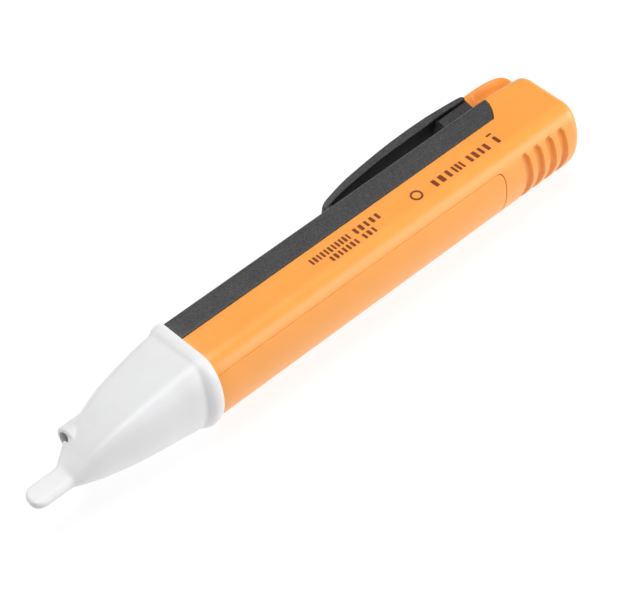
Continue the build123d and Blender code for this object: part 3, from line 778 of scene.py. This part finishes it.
clip = modified(clip, [
    ("REMESH", {"mode": "VOXEL", "voxel_size": CLIP_VOXEL, "use_smooth_shade": True}),
    ("SMOOTH", {"factor": 0.5, "iterations": 5}),
])
arm = place(clip, "grey_pocket_clip", "clip", grey, ["pocket_clip"], sharp=80)
arm.data.materials.append(grey_painted_shade)
# painted shade: the arm's downward-facing faces along its length get the near-black material, standing in
# for the shadow under the clip
PAINTED_SHADE_START_X, PAINTED_SHADE_END_X, PAINTED_SHADE_Y, PAINTED_SHADE_TURN = 51.5, 92.0, 16.0, -0.6
for face in arm.data.polygons:
    at = (face.center - PEN) / MM
    below = face.normal.y < PAINTED_SHADE_TURN and at.y > PAINTED_SHADE_Y
    face.material_index = int(below and PAINTED_SHADE_START_X < at.x < PAINTED_SHADE_END_X)

# ---- nose: cone, blade, barrel and rim -------------------------------------------------------
BLADE_TIP_X, BLADE_Y, BLADE_HALF = -NOSE_LENGTH, 1.35, 2.75
BLADE_EDGE = 1.0            # rounding of the blade's tip
BLADE_EDGE_SHARE = 0.2      # the thinnest that the tip gets, as a share of the blade
BARREL_Y, BARREL_RADIUS, BARREL_FRONT_X = 7.6, 3.6, -31.0
# each row: x, top, half the flat top, half the width, bottom, corner radius
NOSE_STATIONS = [
    (0.0, 13.55, 8.1, 10.95, 6.20, 1.4),
    (-5.0, 13.50, 7.9, 10.85, 6.05, 1.6),
    (-10.0, 13.20, 6.95, 10.00, 5.50, 2.0),
    (-15.0, 12.65, 6.1, 9.20, 5.10, 2.4),
    (-20.0, 11.80, 5.2, 8.30, 4.50, 2.6),
    (-25.0, 10.30, 4.2, 7.00, 3.70, 2.6),
    (-30.0, 8.75, 2.9, 5.00, 2.95, 2.2),
    (-33.0, 6.90, 1.9, 3.30, 2.40, 1.5),
    (-35.0, 5.50, 1.3, 2.15, 1.95, 1.0),
    (-36.3, 4.55, 0.95, 1.40, 1.55, 0.7),
    (-37.2, 4.15, 0.85, 1.18, 1.42, 0.6),
    (-39.0, 4.10, 0.8, 1.12, 1.40, 0.6),
    (-46.5, 4.10, 0.8, 1.10, 1.40, 0.6),
]
NOSE_WALL, NOSE_CROWN, NOSE_STEPS, TIP_STEPS, NOSE_VOXEL = 1.3, 0.3, 110, 16, 0.2
RIM_STATIONS = [
    (-4.2, -0.4), (-3.7, 0.0), (-3.1, 0.35), (-2.5, 0.64), (-1.8, 0.78), (-1.0, 0.74), (-0.3, 0.55),
    (0.0, 0.3),
]


def nose_at(x):
    """The nose's cross-section arguments at x, read smoothly from its stations."""
    for i in range(len(NOSE_STATIONS) - 1):
        behind, ahead = NOSE_STATIONS[i], NOSE_STATIONS[i + 1]
        if x >= ahead[0]:
            break
    further = NOSE_STATIONS[min(i + 2, len(NOSE_STATIONS) - 1)]
    nearer = NOSE_STATIONS[max(i - 1, 0)]
    span = ahead[0] - behind[0]
    t = (x - behind[0]) / span
    values = []
    for k in range(1, 6):
        leave = (ahead[k] - nearer[k]) / (ahead[0] - nearer[0]) * span
        arrive = (further[k] - behind[k]) / (further[0] - behind[0]) * span
        values.append(hermite(t, behind[k], ahead[k], leave, arrive))
    return values


def nose_ring(x):
    """The nose's whole cross-section at x."""
    return ring(half_section(*nose_at(x), crown=NOSE_CROWN))


SPIGOT_START_X, SPIGOT_END_X, SPIGOT_GAP = -1.0, 1.9, 0.2
BARREL_BACK_X, BARREL_STEPS = -22.0, 48
nose = bmesh.new()
centre_x = BLADE_TIP_X + BLADE_HALF
spots = [BLADE_TIP_X * i / NOSE_STEPS for i in range(NOSE_STEPS)]
rings = [stations(x, nose_ring(x)) for x in spots if x > centre_x]
blade_ring = nose_ring(centre_x)
for i in range(TIP_STEPS):
    turn = pi / 2 * i / TIP_STEPS
    x = centre_x - BLADE_HALF * sin(turn)
    inside = min(1.0, (x - BLADE_TIP_X) / BLADE_EDGE)
    thin = max(BLADE_EDGE_SHARE, sqrt(1 - (1 - inside) ** 2))
    rings.append([(x, BLADE_Y + (p.x - BLADE_Y) * cos(turn), p.y * thin) for p in blade_ring])
loft(nose, rings)
loft(nose, [stations(x, ring(case_half(grow))) for x, grow in RIM_STATIONS])
spigot = ring(case_half(-WALL - SPIGOT_GAP))
loft(nose, [stations(x, spigot) for x in (SPIGOT_START_X, SPIGOT_END_X)])
revolve(nose, [
    (BARREL_FRONT_X, BARREL_RADIUS - 0.25), (BARREL_FRONT_X + 0.08, BARREL_RADIUS - 0.08),
    (BARREL_FRONT_X + 0.25, BARREL_RADIUS), (BARREL_BACK_X, BARREL_RADIUS),
], BARREL_Y, 0, BARREL_STEPS)
nose = modified(nose, [
    ("REMESH", {"mode": "VOXEL", "voxel_size": NOSE_VOXEL, "use_smooth_shade": True}),
    ("SMOOTH", {"factor": 0.5, "iterations": 14}),
])
LED_BACK_X, LED_RADIUS = -22.2, 2.5
CAVITY_X = (-32.5, -30.0, -27.0, -24.0, -20.0, -15.0, -10.0, -6.0, -4.6)
CAVITY_TOP_LOSS, CAVITY_CORNER_LOSS, CAVITY_CROWN = 0.9, 0.6, 0.2
SPIGOT_WALL, SPIGOT_BORE_START_X, SPIGOT_BORE_END_X = 1.2, -5.0, 3.0
cavity = bmesh.new()
rings = []
for x in CAVITY_X:
    top, top_half, half, bottom, corner = nose_at(x)
    rings.append(stations(x, ring(half_section(
        top - NOSE_WALL, top_half - CAVITY_TOP_LOSS, half - NOSE_WALL, bottom - NOSE_WALL,
        corner - CAVITY_CORNER_LOSS, crown=CAVITY_CROWN))))
loft(cavity, rings)
bore = ring(case_half(-WALL - SPIGOT_GAP - SPIGOT_WALL))
loft(cavity, [stations(x, bore) for x in (SPIGOT_BORE_START_X, SPIGOT_BORE_END_X)])
revolve(cavity, [
    (BARREL_FRONT_X - 1, LED_RADIUS + 0.3), (BARREL_FRONT_X + 0.15, LED_RADIUS + 0.12),
    (BARREL_FRONT_X + 0.35, LED_RADIUS + 0.06), (LED_BACK_X - 1.2, LED_RADIUS + 0.06),
    (LED_BACK_X - 1.19, LED_RADIUS + 0.55), (LED_BACK_X + 0.5, LED_RADIUS + 0.55),
], BARREL_Y, 0, BARREL_STEPS)
bmesh.ops.recalc_face_normals(cavity, faces=cavity.faces)
difference = {"operation": "DIFFERENCE", "solver": "EXACT", "use_self": True}
nose = modified(nose, [("BOOLEAN", difference)], cavity)
place(nose, "white_nose", "case", white, ["nose_cone"], sharp=50)

# ---- torch lamp in its bore ------------------------------------------------------------------
LED_LENGTH, LED_FLANGE = 8.3, 2.9
DOME_STEPS, DOME_STOP = 12, 0.2         # the dome stops just short of the axis
LED_DOME_X = LED_BACK_X - LED_LENGTH + LED_RADIUS
profile = [
    (LED_BACK_X, LED_FLANGE - 0.1), (LED_BACK_X - 0.1, LED_FLANGE), (LED_BACK_X - 0.9, LED_FLANGE),
    (LED_BACK_X - 1.0, LED_FLANGE - 0.1), (LED_BACK_X - 1.05, LED_RADIUS),
]
for step in range(DOME_STEPS + 1):
    turn = pi / 2 * step / (DOME_STEPS + DOME_STOP)
    profile.append((LED_DOME_X - LED_RADIUS * sin(turn), LED_RADIUS * cos(turn)))
lens = bmesh.new()
revolve(lens, profile, BARREL_Y, 0, BARREL_STEPS)
place(lens, "torch_lamp_lens", "case", lamp_clear, ["torch_led"])

CUP_FRONT_X, CUP_BACK_X, CUP_STEPS = -26.0, -24.6, 32
LEG_Z, LEG_RADIUS, LEG_STEPS = 0.7, 0.25, 12
cup = bmesh.new()
revolve(cup, [
    (CUP_BACK_X, 0.9), (CUP_FRONT_X, 1.45), (CUP_FRONT_X - 0.02, 1.3), (CUP_BACK_X - 0.3, 0.6),
    (CUP_BACK_X - 0.3, 0.1),
], BARREL_Y, 0, CUP_STEPS)
for z in (-LEG_Z, LEG_Z):
    revolve(cup, [
        (LED_BACK_X - 0.1, LEG_RADIUS), (CUP_BACK_X + 0.1, LEG_RADIUS), (CUP_BACK_X, 0.2),
    ], BARREL_Y, z, LEG_STEPS)
place(cup, "torch_lamp_cup", "case", reflector)

# ---- torch button ---------------------------------------------------------------------------
BUTTON_TOP, FLANGE_LOW, FLANGE_HIGH, FLANGE_OUT = CASE_TOP + CROWN + 0.7, 11.0, 11.9, 1.6
BUTTON_ROWS = [
    (FLANGE_LOW, FLANGE_OUT), (FLANGE_HIGH - 0.1, FLANGE_OUT), (FLANGE_HIGH, FLANGE_OUT - 0.2),
    (FLANGE_HIGH + 0.02, 0.1), (FLANGE_HIGH + 0.15, 0.0), (BUTTON_TOP - 0.5, 0.0),
    (BUTTON_TOP - 0.3, -0.1), (BUTTON_TOP - 0.14, -0.32), (BUTTON_TOP - 0.04, -0.65),
    (BUTTON_TOP, -1.1), (BUTTON_TOP - 0.03, -1.5), (BUTTON_TOP - 0.18, -1.9), (BUTTON_TOP - 0.26, -2.6),
    (BUTTON_TOP - 0.3, -4.4),
]
RIBS = [(-3.0, 2.2), (-1.5, 3.0), (0.0, 3.4), (1.5, 3.0), (3.0, 2.2)]     # x and length
RIB_HALF, RIB_HEIGHT, RIB_STEPS, ARCH_STEPS = 0.32, 0.4, 8, 6
button = bmesh.new()
loft(button, [
    [(x, y, z) for x, z in slot_outline(BUTTON_LENGTH + grow, BUTTON_WIDTH + grow)]
    for y, grow in BUTTON_ROWS
])
rings = []
for y, radius in ((FLANGE_LOW - 0.4, 1.3), (FLANGE_LOW - 0.3, 1.5), (FLANGE_LOW + 0.3, 1.5)):
    rings.append([(BUTTON_X + radius * cos(t), y, radius * sin(t)) for t in full_turn(24)])
loft(button, rings)
arch = [pi * i / ARCH_STEPS for i in range(ARCH_STEPS + 1)]
for x, length in RIBS:
    rings = []
    for step in range(RIB_STEPS + 1):
        along = -1 + 2 * step / RIB_STEPS
        high = max(0.05, sqrt(max(0.0, 1 - along**4)))
        rings.append([
            (BUTTON_X + x + RIB_HALF * cos(t) * high,
             BUTTON_TOP - RIB_HEIGHT + RIB_HEIGHT * sin(t) * high,
             along * length / 2)
            for t in arch
        ])
    loft(button, rings)
place(button, "rubber_torch_button", "button", rubber, ["torch_button"], sharp=50)

# ---- cells ----------------------------------------------------------------------------------
CELL_START_X, CELL_NUB, BAND_LENGTH, CELL_SPACING = 5.6, 1.2, 10.5, 0.1
CELL_STEPS, CELL_END_STEPS, CAN_RADIUS = 56, 40, 4.3


def cell(start, name):
    """An AAA cell: printed sleeve in two colours over a steel can with its nub towards the nose."""
    rear, front, band_end = start + CELL_LENGTH, start + CELL_NUB, start + CELL_NUB + BAND_LENGTH
    rounded = [(0.05, CELL_RADIUS - 0.55), (0.12, CELL_RADIUS - 0.2), (0.3, CELL_RADIUS - 0.05),
               (0.5, CELL_RADIUS)]
    band = bmesh.new()
    profile = [(front + x, radius) for x, radius in rounded] + [(band_end, CELL_RADIUS)]
    revolve(band, profile, CELL_Y, 0, CELL_STEPS)
    place(band, f"{name}_band", "case", sleeve_pale, [name])
    sleeve = bmesh.new()
    profile = [(band_end, CELL_RADIUS)] + [(rear - x, radius) for x, radius in rounded[::-1]]
    revolve(sleeve, profile, CELL_Y, 0, CELL_STEPS)
    place(sleeve, f"{name}_sleeve", "case", sleeve_blue, [name])
    ends = bmesh.new()
    revolve(ends, [
        (start, 1.4), (start + 0.08, 1.7), (start + 0.3, 1.88), (front - 0.2, 1.9), (front, 2.2),
        (front + 0.02, CAN_RADIUS - 0.2), (front + 0.15, CAN_RADIUS), (front + 0.3, CAN_RADIUS),
    ], CELL_Y, 0, CELL_END_STEPS)
    revolve(ends, [
        (rear - 0.3, CAN_RADIUS), (rear - 0.08, CAN_RADIUS), (rear - 0.01, CAN_RADIUS - 0.2),
        (rear - 0.03, 3.6), (rear, 3.2), (rear, 0.2),
    ], CELL_Y, 0, CELL_END_STEPS)
    place(ends, f"{name}_ends", "case", cell_steel, [name])


cell(CELL_START_X, "front_cell")
cell(CELL_START_X + CELL_LENGTH + CELL_SPACING, "rear_cell")

# ---- generic printed marks on the orange side ------------------------------------------------
INK_HIGH, INK_DEEP, BAR_CORNER = 0.015, 0.08, 0.14


def printed_side(y, out):
    """How far out the printed side lies at a height, and a point moved off it along its normal."""
    half = case_half()
    for above, below in zip(half, half[1:]):
        if below.x <= y <= above.x and above.y > CASE_TOP_HALF:
            point = above.lerp(below, (above.x - y) / (above.x - below.x))
            along = (below - above).normalized()
            return point + out * Vector((-along.y, along.x))
    raise ValueError("height outside the printed side")


def print_outline(outline, out):
    """An outline in x and y laid on the printed side."""
    laid = []
    for x, y in outline:
        point = printed_side(y, out)
        laid.append((x, point.x, point.y))
    return laid


def bar_outline(x, y, length, height):
    """A rounded upright bar about its middle."""
    return [(x + along, y + up) for along, up in rounded_rectangle(length, height, BAR_CORNER, 2)]


# each word: x it starts at, middle height, letter height, number of bars, pitch
PRINTED_WORDS = [
    (33.8, 4.2, 1.75, 11, 1.08), (46.6, 4.2, 1.75, 5, 1.62), (37.6, 1.85, 1.6, 7, 1.22),
    (47.1, 1.75, 1.6, 3, 1.4), (68.8, 2.35, 2.2, 3, 2.1), (75.3, 2.35, 2.2, 3, 1.15),
    (79.8, 2.35, 2.2, 4, 1.75), (88.2, 2.35, 2.2, 1, 1.9), (87.3, 4.6, 0.45, 1, 3.2),
]
BAR_SHARES = [0.46, 0.56, 0.4, 0.5]
RING_X, RING_Y, RING_OUT, RING_IN = 64.35, 2.6, 1.5, 1.05
marks = bmesh.new()
for start, y, height, count, pitch in PRINTED_WORDS:
    for k in range(count):
        bar = bar_outline(start + pitch * (k + 0.5), y, BAR_SHARES[k % len(BAR_SHARES)] * pitch, height)
        loft(marks, [print_outline(bar, INK_HIGH), print_outline(bar, -INK_DEEP)])
place(marks, "printed_rows", "case", print_ink)

circle = bmesh.new()
outer, inner_edge = (
    [(RING_X + radius * cos(t), RING_Y + radius * sin(t)) for t in full_turn(40)]
    for radius in (RING_OUT, RING_IN)
)
loft(circle, [
    print_outline(outer, INK_HIGH), print_outline(outer, -INK_DEEP), print_outline(inner_edge, -INK_DEEP),
    print_outline(inner_edge, INK_HIGH), print_outline(outer, INK_HIGH),
], cap=False)
place(circle, "printed_ring", "case", print_ink)

# ---- floor, light and camera ----------------------------------------------------------------
FLOOR_HALF, FLOOR_GREY, FLOOR_GLOW, WORLD_GLOW = 1.5, 0.2, 0.84, 0.16
floor_work = bmesh.new()
bmesh.ops.create_grid(floor_work, x_segments=4, y_segments=4, size=FLOOR_HALF)
floor_mesh = bpy.data.meshes.new("floor")
floor_work.to_mesh(floor_mesh)
floor_work.free()
floor = bpy.data.objects.new("floor", floor_mesh)
floor.location = (0, 0, cad_low.z)
bpy.context.scene.collection.objects.link(floor)
paper, _, _ = shader("pale_floor", (FLOOR_GREY,) * 3, 0.9, Specular_IOR_Level=0.0,
                     Emission_Color=(1, 1, 1, 1), Emission_Strength=FLOOR_GLOW)
floor_mesh.materials.append(paper)


def panel(name, place_at, size, watts, target):
    """A soft square light that faces a point."""
    data = bpy.data.lights.new(name, "AREA")
    data.shape = "SQUARE"
    data.size = size
    data.energy = watts
    lamp = bpy.data.objects.new(name, data)
    lamp.location = place_at
    lamp.rotation_euler = (Vector(place_at) - target).to_track_quat("Z", "Y").to_euler()
    bpy.context.scene.collection.objects.link(lamp)


CAMERA_TARGET = PEN + Vector((34.6, 0.84, 0.0)) * MM
# each light: name, place from the target, size (m), power (W)
LIGHTS = [
    ("key", (-0.08, 0.21, 0.67), 0.5, 4.45),
    ("tail_side", (0.553, -0.293, 0.185), 0.3, 1.9),
    ("band", (0.286, -0.483, 0.328), 0.36, 1.5),
]
for name, offset, size, watts in LIGHTS:
    panel(name, CAMERA_TARGET + Vector(offset), size, watts, CAMERA_TARGET)

CAMERA_DISTANCE = 598.3 * MM
CAMERA_LENS, CAMERA_SENSOR = 154.8, 36
CAMERA_AZIMUTH = radians(-139.73)
CAMERA_ELEVATION = radians(54.78)
CAMERA_ROLL = radians(-8.23)
back = Vector((
    cos(CAMERA_ELEVATION) * cos(CAMERA_AZIMUTH),
    cos(CAMERA_ELEVATION) * sin(CAMERA_AZIMUTH),
    sin(CAMERA_ELEVATION),
))
turn = back.to_track_quat("Z", "Y").to_matrix() @ Matrix.Rotation(CAMERA_ROLL, 3, "Z").inverted()
camera_data = bpy.data.cameras.new("camera")
camera_data.lens = CAMERA_LENS
camera_data.sensor_width = CAMERA_SENSOR
camera_data.clip_start = 0.01
camera = bpy.data.objects.new("camera", camera_data)
camera.matrix_world = Matrix.Translation(CAMERA_TARGET + back * CAMERA_DISTANCE) @ turn.to_4x4()
bpy.context.scene.collection.objects.link(camera)
bpy.context.scene.camera = camera

world = bpy.data.worlds.new("studio")
world.use_nodes = True
world.node_tree.nodes["Background"].inputs["Color"].default_value = (1, 1, 1, 1)
world.node_tree.nodes["Background"].inputs["Strength"].default_value = WORLD_GLOW
bpy.context.scene.world = world
bpy.context.scene.view_settings.view_transform = "Standard"
